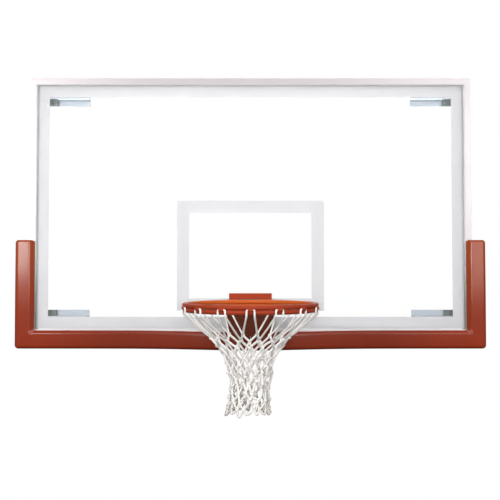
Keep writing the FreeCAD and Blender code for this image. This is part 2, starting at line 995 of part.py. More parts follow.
coils = []
for across, up in spring_places:
    arcs = []
    for turn in range(quarters):
        start = coil_point(turn, float(across))
        end = coil_point(turn + 1, float(across))
        leaving = coil_heading(turn)
        arriving = coil_heading(turn + 1)
        chord = end - start
        both = leaving + arriving
        spread = 2 * (1 - leaving.dot(arriving))
        reach = chord.dot(both)
        reach = (math.sqrt(reach * reach + spread * chord.dot(chord)) - reach) / spread
        first = start + leaving * reach
        second = end - arriving * reach
        meet = (first + second) / 2
        arcs.append(tangent_arc(start, first, meet))
        arcs.append(tangent_arc(meet, second, end))
    path = Part.Wire(arcs)
    section = Part.Wire(
        Part.Circle(coil_point(0, float(across)), coil_heading(0), wire).toShape()
    )
    coils.append(path.makePipeShell([section], True, False))
    print("least gap between the turns of a spring", round(least_gap(path), 2))
springs = doc.addObject("Part::Feature", "return_springs")
springs.Label = "return_springs"
springs.Shape = Part.makeCompound(coils)

# Double ring: two stacked round rods
lower_z = ring_z - 2 * size("ring_rod_radius") - size("weld_gap")
for label, up in (("upper_ring", ring_z), ("lower_ring", lower_z)):
    ring = doc.addObject("Part::Torus", label)
    ring.Label = label
    ring.setExpression("Radius1", words(rod_circle))
    ring.setExpression("Radius2", words(size("ring_rod_radius")))
    ring.setExpression("Placement.Base.y", words(ring_y))
    ring.setExpression("Placement.Base.z", words(up))

# Net ties: short tubes in the crease of the rods, or below them at the top plate and at both sides
tie_count = int(float(size("tie_count")))
tie_turn = 2 * math.pi / tie_count
tie_out = float(rod_circle + size("tie_stand_off"))
crease = float(ring_z + lower_z) / 2
under = float(lower_z - size("ring_rod_radius") - gap - size("tie_radius"))
tie_half = float(size("tie_length")) / 2
side_share = 0.95
ring_centre = FreeCAD.Vector(0, float(ring_y), 0)


def around(radius, angle, up):
    """A point at an angle round the ring's centre; zero is the front of the ring."""
    return ring_centre + FreeCAD.Vector(radius * math.sin(angle), -radius * math.cos(angle), up)


tie_tubes = []
tie_places = []
for index in range(tie_count):
    angle = index * tie_turn
    by_plate = math.cos(angle) < 0 and abs(math.sin(angle)) * tie_out < float(flare)
    below = by_plate or abs(math.sin(angle)) > side_share
    place = around(float(rod_circle), angle, under) if below else around(tie_out, angle, crease)
    along = FreeCAD.Vector(math.cos(angle), math.sin(angle), 0)
    start = place - along * tie_half
    tube = Part.makeCylinder(float(size("tie_radius")), 2 * tie_half, start, along)
    bore = Part.makeCylinder(float(size("tie_bore_radius")), 2 * tie_half, start, along)
    tie_tubes.append(tube.cut(bore))
    tie_places.append((place, along, below))
ties = doc.addObject("Part::Feature", "net_ties")
ties.Label = "net_ties"
ties.Shape = Part.makeCompound(tie_tubes)

# Net: cords from each tie to knots between the ties, then rows of diamonds to the hem
cord = float(size("cord_radius"))
knot = float(size("knot_radius"))
neck = float(size("net_neck_radius"))
net_top = float(board_bottom + size("ring_top"))
net_length = float(size("net_length"))
row_shares = [(0.31, 1.93), (0.383, 1.60), (0.465, 1.28), (0.545, 1.10), (0.62, 0.98)]
row_shares += [(0.695, 0.88), (0.77, 0.87), (0.845, 0.93), (0.918, 1.01), (0.989, 1.10)]
rows = []
for number, (share, spread) in enumerate(row_shares):
    turn = tie_turn / 2 if number % 2 == 0 else 0
    up = net_top - net_length * share
    rows.append([around(neck * spread, turn + index * tie_turn, up) for index in range(tie_count)])


def cord_between(start, end, short):
    """A straight run of cord that stops a little inside the knot at each end."""
    heading = end - start
    length = heading.Length
    heading.normalize()
    return Part.makeCylinder(cord, length - 2 * short, start + heading * short, heading)


def knot_at(place, angle, reach):
    """A small block turned to face out from the ring's centre, which the cords run into."""
    corner = FreeCAD.Vector(-reach, -reach, -reach)
    block = Part.makeBox(2 * reach, 2 * reach, 2 * reach, corner)
    block.Placement = FreeCAD.Placement(place, FreeCAD.Rotation(FreeCAD.Vector(0, 0, 1), angle))
    return block


def facing(place):
    return math.degrees(math.atan2(place.x, float(ring_y) - place.y))


strand_start = knot / 3
strands = [knot_at(place, facing(place), knot) for row in rows for place in row]
for number in range(len(rows) - 1):
    step = 1 if number % 2 == 0 else -1
    for index in range(tie_count):
        start = rows[number][index]
        for end in (rows[number + 1][index], rows[number + 1][(index + step) % tie_count]):
            strands.append(cord_between(start, end, strand_start))
bend = cord + float(gap)
loop_start = bend / 4
swing = tie_half + bend + 2 * float(gap)
loop_low = under + float(size("loop_rise")) - crease
for index, (place, along, below) in enumerate(tie_places):
    ends = []
    for side, knot_index in ((-1, index - 1), (1, index)):
        corner = place + along * (side * swing)
        strands.append(knot_at(corner, facing(place), bend))
        last = corner
        if not below:
            last = corner + FreeCAD.Vector(0, 0, loop_low)
            strands.append(knot_at(last, facing(place), bend))
            strands.append(cord_between(corner, last, loop_start))
        strands.append(cord_between(last, rows[0][knot_index % tie_count], loop_start))
        ends.append(corner)
    strands.append(cord_between(ends[0], ends[1], loop_start))
net = doc.addObject("Part::Feature", "net")
net.Label = "net"
net.Shape = strands[0].multiFuse(strands[1:]).Solids[0]

doc.recompute()

# Every piece is checked and written to its own file
os.makedirs("parts", exist_ok=True)
pieces = [item for item in doc.Objects if item.TypeId in ("PartDesign::Body", "Part::Torus", "Part::Feature")]
for item in doc.Objects:
    if "Invalid" in item.State or "Error" in item.State:
        raise RuntimeError("not built: " + item.Label)
for item in pieces:
    if item.Shape.isNull() or not item.Shape.isValid() or not item.Shape.Solids:
        raise RuntimeError("no valid solid: " + item.Label)
    item.Shape.exportStep("parts/" + item.Label + ".step")
    print(item.Label, len(item.Shape.Solids), round(item.Shape.Volume))
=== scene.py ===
import math
import bmesh
import bpy
import numpy as np
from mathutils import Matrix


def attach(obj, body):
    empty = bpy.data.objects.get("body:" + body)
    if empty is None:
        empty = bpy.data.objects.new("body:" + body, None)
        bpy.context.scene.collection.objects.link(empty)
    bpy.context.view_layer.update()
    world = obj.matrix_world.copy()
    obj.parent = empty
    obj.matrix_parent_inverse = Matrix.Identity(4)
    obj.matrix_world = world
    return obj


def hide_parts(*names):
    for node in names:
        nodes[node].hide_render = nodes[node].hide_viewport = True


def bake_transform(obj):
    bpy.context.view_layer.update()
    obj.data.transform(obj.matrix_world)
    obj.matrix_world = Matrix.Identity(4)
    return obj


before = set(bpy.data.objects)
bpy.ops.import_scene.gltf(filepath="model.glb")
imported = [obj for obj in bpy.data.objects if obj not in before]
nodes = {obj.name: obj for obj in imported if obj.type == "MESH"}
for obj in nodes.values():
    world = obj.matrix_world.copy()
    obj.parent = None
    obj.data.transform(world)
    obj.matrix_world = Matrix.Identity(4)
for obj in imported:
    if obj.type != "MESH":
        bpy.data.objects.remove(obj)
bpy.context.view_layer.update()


# Frame rails. Four mitred aluminium extrusions with a satin pale coat, drawn lengthways,
# so the faint die lines run along each rail. Corner keys inside hold the mitres.
class Wire:
    """A shader socket that takes part in sums: each operator adds one Math node."""

    def __init__(self, owner, socket):
        self.owner = owner
        self.socket = socket

    def __add__(self, other):
        return self.owner.maths("ADD", self, other)

    def __radd__(self, other):
        return self.owner.maths("ADD", other, self)

    def __sub__(self, other):
        return self.owner.maths("SUBTRACT", self, other)

    def __rsub__(self, other):
        return self.owner.maths("SUBTRACT", other, self)

    def __mul__(self, other):
        return self.owner.maths("MULTIPLY", self, other)

    def __rmul__(self, other):
        return self.owner.maths("MULTIPLY", other, self)


class Nodes:
    """A node tree, with one method that adds nodes and short names for the common ones."""

    def __init__(self, tree):
        self.tree = tree

    def node(self, kind, settings, sockets, output=0):
        """Adds a node, sets it up, links or sets its inputs and gives one of its outputs."""
        made = self.tree.nodes.new(kind)
        for name, value in settings.items():
            if name == "stops":
                for stop, (place, colour) in zip(made.color_ramp.elements, value):
                    stop.position = place
                    stop.color = colour
            else:
                setattr(made, name, value)
        for name, value in sockets.items():
            if isinstance(value, Wire):
                self.tree.links.new(value.socket, made.inputs[name])
            else:
                made.inputs[name].default_value = value
        return Wire(self, made.outputs[output])

    def maths(self, operation, first, second=0.0):
        return self.node("ShaderNodeMath", {"operation": operation}, {0: first, 1: second})

    def span(self, value, start, end):
        """Zero at the start value, one at the end value, straight between and held beyond."""
        return self.node("ShaderNodeMapRange", {}, {"Value": value, "From Min": start, "From Max": end})

    def ramp(self, value, *stops):
        """Colours between two stops, each given as a place and a colour."""
        return self.node("ShaderNodeValToRGB", {"stops": stops}, {"Fac": value})


class Finish(Nodes):
    """A material on one Principled shader; fixed values are set on its own sockets."""

    def __init__(self, name, **fixed):
        self.material = bpy.data.materials.new(name)
        self.material.use_nodes = True
        super().__init__(self.material.node_tree)
        self.shader = self.tree.nodes["Principled BSDF"]
        for socket, value in fixed.items():
            self.shader.inputs[socket.replace("_", " ")].default_value = value

    def place(self, stretch=(1, 1, 1)):
        """Object coordinates in metres, stretched by a scale for each axis."""
        where = self.node("ShaderNodeTexCoord", {}, {}, "Object")
        return self.node("ShaderNodeMapping", {}, {"Vector": where, "Scale": stretch})

    def axis(self, index):
        """One object coordinate: 0 is across, 1 is depth and 2 is up."""
        return self.node("ShaderNodeSeparateXYZ", {}, {"Vector": self.place()}, index)

    def noise(self, scale, detail, roughness=0.55, stretch=(1, 1, 1)):
        sockets = {"Vector": self.place(stretch), "Scale": scale, "Detail": detail, "Roughness": roughness}
        return self.node("ShaderNodeTexNoise", {}, sockets)

    def mix(self, share, first, second):
        return self.node("ShaderNodeMix", {"data_type": "RGBA"}, {0: share, 6: first, 7: second}, 2)

    def feed(self, socket, wire):
        self.tree.links.new(wire.socket, self.shader.inputs[socket])

    def bump(self, height, strength, distance):
        sockets = {"Height": height, "Strength": strength, "Distance": distance}
        self.feed("Normal", self.node("ShaderNodeBump", {}, sockets))

    def paint(self, *names):
        for name in names:
            piece = nodes[name] if isinstance(name, str) else name
            piece.data.materials.clear()
            piece.data.materials.append(self.material)


board_low = -0.5334
pad_top = board_low + 0.393


def coated_rail(name, stretch, pad_shade=False):
    """Satin coat with die lines; below the top of the pads it is darkened as painted shade of the pads."""
    coat = Finish(name, Metallic=0.35, IOR=1.5)
    lines = coat.noise(1.0, 4.0, stretch=stretch)
    cloud = coat.noise(7.0, 4.0)
    tone = coat.mix(lines * 0.5 + cloud * 0.4, (0.605, 0.562, 0.572, 1), (0.54, 0.497, 0.507, 1))
    if pad_shade:
        # Painted shade: below the top of the pads the rail darkens toward tan, where the pads shade it.
        pad_shade_mask = coat.span(coat.axis(2), pad_top + 0.010, pad_top - 0.030)
        tone = coat.mix(pad_shade_mask * (0.62 + cloud * 0.2), tone, (0.16, 0.115, 0.080, 1))
    coat.feed("Base Color", tone)
    coat.feed("Roughness", lines * 0.16 + cloud * 0.10 + 0.24)
    coat.bump(lines, 0.12, 0.0003)
    return coat


coated_rail("rail_coat_across", (3, 420, 420)).paint("top_rail", "bottom_rail")
coated_rail("rail_coat_upright", (420, 420, 3), pad_shade=True).paint("left_rail", "right_rail")
coated_rail("key_metal", (60, 60, 60)).paint("corner_keys")


# Seals and rim rubbers. A grey extruded channel round the edge of the glass shows as a thin
# line inside the lip; black rubber cushions the rim on both faces of the glass and at rest.
rubber = Finish("dark_rubber", IOR=1.5)
grain = rubber.noise(900.0, 2.0)
chalk = rubber.noise(22.0, 4.0)
rubber.feed("Base Color", rubber.mix(chalk, (0.030, 0.030, 0.033, 1), (0.075, 0.074, 0.076, 1)))
rubber.feed("Roughness", chalk * 0.2 + 0.55)
rubber.bump(grain, 0.2, 0.0002)
rubber.paint("front_rim_seal", "rear_rim_seal", "rest_buffer")

# Beside the pads the grey channel is painted darker, as painted shade cast by the pads, more so toward the
# bottom
grey_rubber = Finish("grey_rubber", IOR=1.5)
chalk = grey_rubber.noise(40.0, 4.0)
grain = grey_rubber.noise(900.0, 2.0)
clean = grey_rubber.mix(chalk, (0.82, 0.815, 0.82, 1), (0.74, 0.735, 0.74, 1))
beside_pad = grey_rubber.span(grey_rubber.maths("ABSOLUTE", grey_rubber.axis(0)), 0.870, 0.880)
below_top = grey_rubber.span(grey_rubber.axis(2), pad_top + 0.005, pad_top - 0.30)
# Painted shade: the seal darkens beside the pads and further down.
pad_shade_mask = beside_pad * below_top * (0.75 + chalk * 0.2)
grey_rubber.feed("Base Color", grey_rubber.mix(pad_shade_mask, clean, (0.17, 0.155, 0.115, 1)))
grey_rubber.feed("Roughness", chalk * 0.2 + 0.5)
grey_rubber.bump(grain, 0.2, 0.0002)
grey_rubber.paint("glazing_seal")


# Glass panel. Clear tempered sheet held in the seal, with a thin film of dust and wiping
# marks. The white border and target are fired onto its rear face.
glass = Finish("clear_glass", Base_Color=(0.90, 0.95, 0.94, 1), IOR=1.5)
gloss = glass.node("ShaderNodeFresnel", {}, {"IOR": 1.45})
wiped = glass.noise(5.0, 5.0, 0.65, stretch=(2.0, 1, 0.6))
glass.feed("Roughness", wiped * 0.06 + 0.02)
glass.feed("Alpha", gloss * 0.55 + wiped * 0.02 + 0.012)
glass.paint("glass_panel")

# The fired layer lies face to face on the glass, so some rays miss its front and find its far
# side. From inside it lets the light through, so that the far side is shaded like the front.
marking = Finish("fired_white", IOR=1.5)
specks = marking.noise(700.0, 2.0)
patches = marking.noise(9.0, 4.0)
inside = marking.node("ShaderNodeNewGeometry", {}, {}, "Backfacing")
to_light = marking.node("ShaderNodeLightPath", {}, {}, "Is Shadow Ray")
marking.feed("Base Color", marking.mix(patches, (0.655, 0.642, 0.66, 1), (0.615, 0.602, 0.622, 1)))
marking.feed("Roughness", specks * 0.2 + 0.38)
marking.feed("Alpha", 1 - inside * to_light)
marking.bump(specks, 0.08, 0.0001)
marking.paint("border_stripe", "target_square")


# Corner angles, backing plate and strut. Folded steel with a pale grey coat whose tone varies in a broad
# cloud; the tapped blocks on the angles are darker bare steel.
steel_coat = Finish("pale_steel_coat", Metallic=0.15, IOR=1.5)
cloud = steel_coat.noise(26.0, 5.0)
peel = steel_coat.noise(700.0, 2.0)
steel_coat.feed("Base Color", steel_coat.mix(cloud, (0.46, 0.505, 0.56, 1), (0.40, 0.44, 0.49, 1)))
steel_coat.feed("Roughness", cloud * 0.2 + 0.35)
steel_coat.bump(peel, 0.1, 0.0002)
steel_coat.paint("top_left_angle", "top_right_angle", "bottom_left_angle", "bottom_right_angle")
steel_coat.paint("backing_plate", "goal_strut")

block_steel = Finish("dark_block_steel", Metallic=0.6, IOR=1.5)
scale_marks = block_steel.noise(60.0, 6.0, 0.7)
bare = block_steel.mix(scale_marks, (0.070, 0.084, 0.077, 1), (0.155, 0.176, 0.162, 1))
block_steel.feed("Base Color", bare)
block_steel.feed("Roughness", scale_marks * 0.3 + 0.35)
block_steel.bump(scale_marks, 0.15, 0.0004)
block_steel.paint("mounting_blocks", "spring_bar", "spring_spigots")


# Screws, bolts, nuts, washers, hinge pin and clips. Zinc-plated steel with fine turning
# marks; nylon sleeves line the holes in the glass and bronze bushes run on the pin.
zinc_bright = (0.62, 0.63, 0.64, 1)
zinc_dull = (0.45, 0.45, 0.44, 1)
zinc = Finish("zinc_plate", Metallic=0.95, IOR=1.5)
turning = zinc.noise(1.0, 3.0, stretch=(900, 60, 900))
tarnish = zinc.noise(140.0, 4.0)
zinc.feed("Base Color", zinc.mix(tarnish, zinc_bright, zinc_dull))
zinc.feed("Roughness", turning * 0.2 + tarnish * 0.15 + 0.18)
zinc.bump(turning, 0.1, 0.0002)
zinc.paint("corner_screws", "angle_screws", "pad_washers", "pad_screws", "strut_screws")
zinc.paint("rim_washers", "rim_nuts", "hinge_pin", "pin_clips")

nylon = Finish("nylon_sleeve", IOR=1.5)
haze = nylon.noise(150.0, 3.0)
nylon.feed("Base Color", nylon.mix(haze, (0.72, 0.71, 0.66, 1), (0.62, 0.61, 0.56, 1)))
nylon.feed("Roughness", haze * 0.2 + 0.4)
nylon.paint("glass_sleeves")

bronze = Finish("bush_bronze", Metallic=0.95, IOR=1.5)
bore_marks = bronze.noise(1.0, 3.0, stretch=(500, 40, 40))
bronze.feed("Base Color", bronze.mix(bore_marks, (0.55, 0.36, 0.16, 1), (0.40, 0.25, 0.10, 1)))
bronze.feed("Roughness", bore_marks * 0.25 + 0.25)
bronze.paint("hinge_bushes")


# Edge pads. Moulded foam with its own tough skin, one L each side: a channel that wraps the
# rails, with a flat bevel on the inner front edge. They meet under the rim, where their soft
# ends hang a little lower.
half_width = 0.9144
pad_out = 0.053
rear_lip = 0.020
ease = 0.0004
outer_round = 0.016
bottom_lip, side_lip = 0.022, 0.0243
bottom_bevel, side_bevel = 0.010, 0.0155
seam_draw = 0.0022, 0.0004
top_draw = 0.0075
end_steps = 7
droop = 0.008
droop_span = 0.29
waviness = 0.0005


def unit(vectors):
    """Vectors brought to length one along their last axis."""
    return vectors / np.linalg.norm(vectors, axis=-1, keepdims=True)


def rounded_outline(corners, radius, steps=9):
    """Each corner becomes an arc, as a quadratic curve between its two tangent points."""
    before = unit(np.roll(corners, 1, axis=-2) - corners)
    after = unit(np.roll(corners, -1, axis=-2) - corners)
    share = np.linspace(0, 1, steps)[:, None]
    start = (corners + before * radius[..., None])[..., None, :]
    end = (corners + after * radius[..., None])[..., None, :]
    curve = start * (1 - share) ** 2 + corners[..., None, :] * 2 * share * (1 - share) + end * share**2
    return curve.reshape(*corners.shape[:-2], -1, 2)


def pad_section(front_lip, bevel, drawn):
    """The pad's section at each station, as distance out from the rail's edge and depth.

    The front lip lies on the rail's face and has a flat bevel on its inner front edge. Drawn
    moves every edge inwards: a corner then slides along the line that halves its angle.
    """
    front, rear, groove_front, groove_rear = -0.085, 0.005, -0.0658, -0.0145
    fixed = np.ones_like(drawn)
    out = [-front_lip, ease * fixed, ease * fixed, -rear_lip * fixed, -rear_lip * fixed]
    out += [pad_out * fixed, pad_out * fixed, bevel - front_lip, -front_lip]
    depth = [groove_front * fixed, groove_front * fixed, groove_rear * fixed, groove_rear * fixed]
    depth += [rear * fixed, rear * fixed, front * fixed, front * fixed, front + bevel]
    corners = np.stack([np.stack(out, axis=-1), np.stack(depth, axis=-1)], axis=-1)
    radius = np.array([0.0015, 0.002, 0.002, 0.0015, 0.008, 0.010, 0.018, 0.004, 0.0022])
    edge = unit(np.roll(corners, -1, axis=1) - corners)
    prior = np.roll(edge, 1, axis=1)
    outward = np.stack([-edge[..., 1], edge[..., 0]], axis=-1)
    prior_outward = np.roll(outward, 1, axis=1)
    halving = (outward + prior_outward) / (1 + np.sum(outward * prior_outward, axis=-1, keepdims=True))
    hollow = prior[..., 0] * edge[..., 1] - prior[..., 1] * edge[..., 0] > 0
    inward = drawn[:, None]
    radius = np.where(hollow, radius + inward, np.maximum(radius - inward, 0.0005))
    return rounded_outline(corners - halving * inward[..., None], radius)


def pad_mesh(name, side):
    """The section carried along an L: from the seam, round the bottom corner and up to the top.

    Near the seam the pad hangs lower by a bell curve of the distance from the middle.
    """
    along = np.concatenate([[0, 0.003], np.linspace(0.012, 1, 60)])
    bend = np.linspace(0, math.pi / 2, 9)[1:]
    top_end = 1 - 0.022 * np.cos(np.linspace(0.2, 1, end_steps) * math.pi / 2)
    rise = np.concatenate([np.linspace(0, 0.96, 24)[1:], top_end])
    first, second = len(along), len(along) + len(bend)
    stations = second + len(rise)
    upright = np.ones(stations)
    upright[:first] = np.clip((along - 0.985) / 0.015, 0, 1)

    # The two ends are drawn in: a small round at the seam and a fuller one at the top
    drawn = np.zeros(stations)
    drawn[:2] = seam_draw
    drawn[-end_steps:] = top_draw * (1 - np.sin(np.linspace(1, 0.0, end_steps) * math.pi / 2) ** 0.9)
    front_lip = bottom_lip + (side_lip - bottom_lip) * upright
    bevel = bottom_bevel + (side_bevel - bottom_bevel) * upright - np.where(upright > 0, drawn, 0)
    outline = pad_section(front_lip, bevel, drawn)

    # Only what lies outside the corner's centre turns round it; the rest is mitred
    out = outline[..., 0]
    depth = outline[..., 1]
    turned = np.maximum(out - (pad_out - outer_round), 0)
    mitred = np.minimum(out, pad_out - outer_round)
    across = np.empty_like(out)
    up = np.empty_like(out)
    across[:first] = ease + along[:, None] * (half_width + mitred[:first] - ease)
    up[:first] = board_low - out[:first] - droop * np.exp(-((across[:first] / droop_span) ** 2))
    across[first:second] = half_width + mitred[first:second] + turned[first:second] * np.sin(bend)[:, None]
    up[first:second] = board_low - mitred[first:second] - turned[first:second] * np.cos(bend)[:, None]
    base = board_low - mitred[second:]
    across[second:] = half_width + out[second:]
    up[second:] = base + rise[:, None] * (pad_top - base)

    # A faint waviness, under a millimetre, as thick foam has after moulding
    wave = waviness * np.sin(across * 9 + up * 13 + depth * 40) * (out > 0.004)
    depth = depth + wave * np.sign(depth + 0.04)
    points = np.stack([side * across, depth, up], axis=-1).reshape(-1, 3)
    count = out.shape[1]
    ring = np.arange(count)
    following = np.roll(ring, -1)
    row = np.arange(stations - 1)[:, None] * count
    quads = np.stack([row + ring, row + following, row + count + following, row + count + ring], axis=-1)
    turn_over = -1 if side > 0 else 1
    faces = quads.reshape(-1, 4)[:, ::turn_over].tolist()
    faces.append(ring[::-turn_over].tolist())
    faces.append(((stations - 1) * count + ring)[::turn_over].tolist())
    mesh = bpy.data.meshes.new(name)
    mesh.from_pydata(points.tolist(), [], faces)
    shape = bmesh.new()
    shape.from_mesh(mesh)
    bmesh.ops.remove_doubles(shape, verts=shape.verts, dist=0.00002)
    shape.to_mesh(mesh)
    shape.free()
    pad = bpy.data.objects.new(name, mesh)
    bpy.context.scene.collection.objects.link(pad)
    corner_count = np.empty(len(mesh.polygons), np.int32)
    mesh.polygons.foreach_get("loop_total", corner_count)
    mesh.polygons.foreach_set("use_smooth", corner_count <= 4)
    return pad


foam = Finish("pad_skin", IOR=1.5, Specular_IOR_Level=0.3, Coat_Weight=0.15, Coat_Roughness=0.10)
mottle = foam.noise(6.0, 5.0, 0.6)
pebble = foam.noise(420.0, 3.0)
scuff = foam.noise(30.0, 6.0, 0.7, stretch=(1, 1, 6))
# Painted light and shade: the side pads are painted paler toward their tops, where the light falls, and
# the bottom run darker, as it lies in shade.
low_run_shade = foam.span(foam.maths("ABSOLUTE", foam.axis(0)), 0.95, 0.60)
top_light = foam.span(foam.axis(2), -0.44, -0.20)
fresh = foam.mix(mottle, (0.30, 0.034, 0.010, 1), (0.225, 0.024, 0.008, 1))
low_shade = foam.mix(mottle, (0.225, 0.027, 0.009, 1), (0.172, 0.019, 0.007, 1))
lit_top_tone = foam.mix(mottle, (0.37, 0.066, 0.017, 1), (0.30, 0.050, 0.013, 1))
brick = foam.mix(low_run_shade, foam.mix(top_light, fresh, lit_top_tone), low_shade)
foam.feed("Base Color", foam.mix(scuff * 0.08, brick, (0.40, 0.13, 0.08, 1)))
foam.feed("Roughness", pebble * 0.08 + scuff * 0.10 + 0.08)
foam.bump(pebble, 0.25, 0.0005)
for name, side in (("left_pad", -1), ("right_pad", 1)):
    pad = pad_mesh(name + "_skin", side)
    foam.paint(pad)
    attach(pad, "board")
    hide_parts(name)


# Rim steelwork. Back plate, cheeks, flared top plate, both rods and the net ties are welded steel under
# orange powder coat with a fine peel, in copies lighter or darker by how light falls: painted light on the
# top plate, painted shade on the front of the rods and on the apron and yoke sides, which are painted dark
# brown.
def orange_coat(name, light, deep, front_shade=None):
    """Powder coat: two tones mixed by a broad cloud, darker rubbed spots and a fine peel.

    A darker tone, painted shade, takes over toward the front of the ring.
    """
    coat = Finish(name, IOR=1.5, Specular_IOR_Level=0.06)
    peel = coat.noise(520.0, 2.0)
    tone = coat.noise(14.0, 4.0)
    rubbed = coat.noise(55.0, 6.0, 0.7)
    chips = coat.ramp(rubbed, (0.66, (0, 0, 0, 1)), (0.72, (1, 1, 1, 1)))
    orange = coat.mix(tone, light, deep)
    if front_shade:
        orange = coat.mix(coat.span(coat.axis(1), -0.30, -0.58), orange, front_shade)
    coat.feed("Base Color", coat.mix(chips * 0.3, orange, (0.12, 0.03, 0.018, 1)))
    coat.feed("Roughness", peel * 0.10 + chips * 0.2 + 0.28)
    coat.bump(peel, 0.14, 0.0003)
    return coat


plate_coat = orange_coat("plate_orange", (0.365, 0.040, 0.0095, 1), (0.31, 0.033, 0.0085, 1))
plate_coat.paint("rim_back_plate")
# Painted light: the top plate has a lighter copy of the orange, as it is lit from above.
top_lit_coat = orange_coat("top_orange_lit", (0.58, 0.125, 0.026, 1), (0.50, 0.095, 0.022, 1))
top_lit_coat.paint("ring_top_plate")
# Painted shade: the rods turn to a darker tone toward the front of the ring.
rod_tones = (0.575, 0.111, 0.021, 1), (0.505, 0.095, 0.019, 1), (0.305, 0.041, 0.016, 1)
rod_coat = orange_coat("rod_orange", *rod_tones)
rod_coat.paint("upper_ring", "lower_ring", "net_ties", "left_cheek", "right_cheek")
# Painted shade: the apron and yoke sides have a dark brown copy of the orange, as they lie in shade under
# the ring.
apron_shade_coat = orange_coat("apron_shaded_brown", (0.125, 0.024, 0.009, 1), (0.098, 0.019, 0.007, 1))
apron_shade_coat.paint("front_apron", "left_yoke_side", "right_yoke_side")

# The bolts are painted with the plate at their heads and left as plated steel behind it
plate_front = -0.0645
bolt = Finish("rim_bolt", IOR=1.5, Specular_IOR_Level=0.06)
head = bolt.maths("LESS_THAN", bolt.axis(1), plate_front)
tarnish = bolt.noise(140.0, 4.0)
plated = bolt.mix(tarnish, zinc_bright, zinc_dull)
bolt.feed("Base Color", bolt.mix(head, plated, (0.337, 0.0367, 0.009, 1)))
bolt.feed("Metallic", 0.95 - head * 0.95)
bolt.feed("Roughness", tarnish * 0.2 + 0.25)
bolt.bump(tarnish, 0.1, 0.0002)
bolt.paint("rim_bolts")


# Return springs. Two coils of round wire between the back plate and the yoke's bar, with closed end turns.
def soft_line(control, count):
    """A clamped quadratic B-spline: it starts and ends on the first and last control points."""
    control = np.asarray(control, float)
    spans = len(control) - 2
    at = np.linspace(0, spans, count)
    span = np.minimum(at.astype(int), spans - 1)
    share = (at - span)[:, None]
    first, second, third = control[span], control[span + 1], control[span + 2]
    enter = np.where((span == 0)[:, None], first, (first + second) / 2)
    leave = np.where((span == spans - 1)[:, None], third, (second + third) / 2)
    return enter * (1 - share) ** 2 + second * 2 * share * (1 - share) + leave * share**2


def tubes(lines, radius, sides, lean, closed=False):
    """Circles set square to many lines of one point count; lean is the direction their seams face.

    A closed line joins its last circle to its first; an open one gets a flat cap at each end.
    The layout gives each face corner its length along the line and its share of the turn.
    """
    lines = np.asarray(lines)
    if closed:
        heading = unit(np.roll(lines, -1, axis=1) - np.roll(lines, 1, axis=1))
    else:
        heading = unit(np.gradient(lines, axis=1))
    first = unit(lean - heading * np.sum(lean * heading, axis=-1, keepdims=True))
    second = np.cross(heading, first)
    angle = np.linspace(0, 2 * math.pi, sides, endpoint=False)
    spokes = first[:, :, None] * np.cos(angle)[:, None] + second[:, :, None] * np.sin(angle)[:, None]
    points = lines[:, :, None] + np.asarray(radius)[..., None, None] * spokes

    many, length = lines.shape[:2]
    here = np.arange(many * length * sides).reshape(many, length, sides)
    ahead = np.roll(here, -1, axis=1)
    reach = np.linalg.norm(np.roll(lines, -1, axis=1) - lines, axis=-1)
    run_end = np.cumsum(reach, axis=1)
    run_start = run_end - reach
    if not closed:
        here, ahead, run_start, run_end = here[:, :-1], ahead[:, :-1], run_start[:, :-1], run_end[:, :-1]
    quads = np.stack([here, np.roll(here, -1, axis=2), np.roll(ahead, -1, axis=2), ahead], axis=-1)
    runs = np.stack([run_start, run_start, run_end, run_end], axis=-1)[:, :, None]
    turns = np.arange(sides)[:, None] / sides + np.array([0, 1, 1, 0]) / sides
    layout = np.stack(np.broadcast_arrays(runs, turns), axis=-1).reshape(-1, 2)
    faces = quads.reshape(-1, 4).tolist()
    if not closed:
        caps = here[:, 0, ::-1].tolist() + ahead[:, -1].tolist()
        faces += caps
        layout = np.concatenate([layout, np.zeros((len(caps) * sides, 2))])
    return points.reshape(-1, 3), faces, layout


def tube_piece(name, groups):
    """One smooth mesh from several groups of tubes, with their layout as its UV map."""
    points, faces, layout = [], [], []
    for group_points, group_faces, group_layout in groups:
        shift = sum(len(part) for part in points)
        faces += [[corner + shift for corner in face] for face in group_faces]
        points.append(group_points)
        layout.append(group_layout)
    mesh = bpy.data.meshes.new(name)
    mesh.from_pydata(np.concatenate(points).tolist(), [], faces)
    grid = mesh.uv_layers.new(name="UVMap")
    grid.data.foreach_set("uv", np.concatenate(layout).astype(np.float32).ravel())
    mesh.polygons.foreach_set("use_smooth", np.ones(len(faces), bool))
    mesh.update()
    piece = bpy.data.objects.new(name, mesh)
    bpy.context.scene.collection.objects.link(piece)
    return piece


spring_side = 0.040
spring_up = -0.4934
spring_front = -0.1193
spring_rear = -0.0741
coil_radius = 0.013
coil_turns = 4.5
coil_points = 190
wire_radius = 0.0025
end_closing = 0.0765

turn = np.linspace(0, 1, coil_points)
pitch = turn - end_closing * np.sin(2 * math.pi * turn)
depth = spring_front + pitch * (spring_rear - spring_front)
angle = turn * coil_turns * 2 * math.pi
across = coil_radius * np.cos(angle)
up = spring_up + coil_radius * np.sin(angle)
spring_lines = [np.stack([side * spring_side + across, depth, up], axis=-1) for side in (-1, 1)]
coils = tubes(spring_lines, np.full((2, coil_points), wire_radius), 12, np.array([0.0, 1.0, 0.0]))
springs = tube_piece("return_spring_coils", [coils])

wire_steel = Finish("spring_wire", Metallic=0.9, IOR=1.5)
oil = wire_steel.noise(90.0, 5.0)
wire_steel.feed("Base Color", wire_steel.mix(oil, (0.20, 0.20, 0.21, 1), (0.34, 0.33, 0.32, 1)))
wire_steel.feed("Roughness", oil * 0.3 + 0.25)
wire_steel.bump(oil, 0.1, 0.0002)
wire_steel.paint(springs)
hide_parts("return_springs")
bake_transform(springs)


